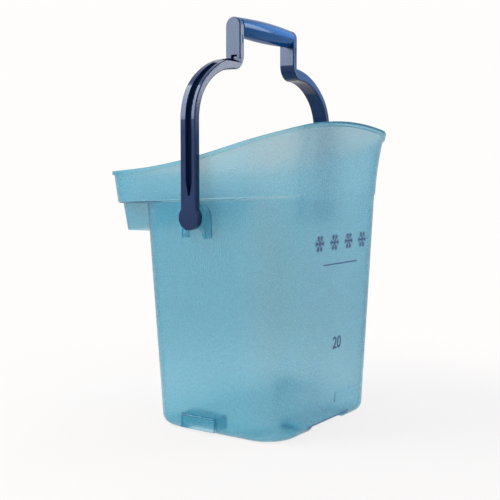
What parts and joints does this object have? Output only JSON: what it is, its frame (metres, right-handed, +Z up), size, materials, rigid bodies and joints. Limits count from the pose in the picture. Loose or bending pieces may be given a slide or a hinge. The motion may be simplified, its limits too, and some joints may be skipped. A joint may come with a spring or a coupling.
{
  "type": "ice tote",
  "caption": "Tapered translucent ice tote with a high flared pouring lip, a rear shelf with a hanging pocket, and a swinging bail with a barrel grip.",
  "frame": {"origin": "on the floor plane that the tub stands on, straight below the middle of the bail's pivot axis", "axes": "+Z up; +X along the bail's pivot axis, to the left hand of someone who looks at the pouring lip's outside; -Y out over the pouring lip, +Y towards the hanging pocket"},
  "size_m": [0.3424, 0.3196, 0.5586],
  "materials": {
    "tub_plastic": "frosted translucent blue moulding, fine satin grain outside and smoother inside",
    "arm_plastic": "polished navy moulding",
    "grip_plastic": "polished bright blue moulding",
    "print_ink": "flat navy print on the front wall"
  },
  "bodies": {
    "tub": {"tote_shell": "tub_plastic"},
    "bail": {"arm_left": "arm_plastic", "arm_right": "arm_plastic", "grip": "grip_plastic"}
  },
  "joints": [
    {"name": "bail_swing", "type": "hinge", "parent": "tub", "child": "bail", "pos_m": [0, 0, 0.29], "axis": [1, 0, 0], "range_deg": [-130, 130]}
  ]
}
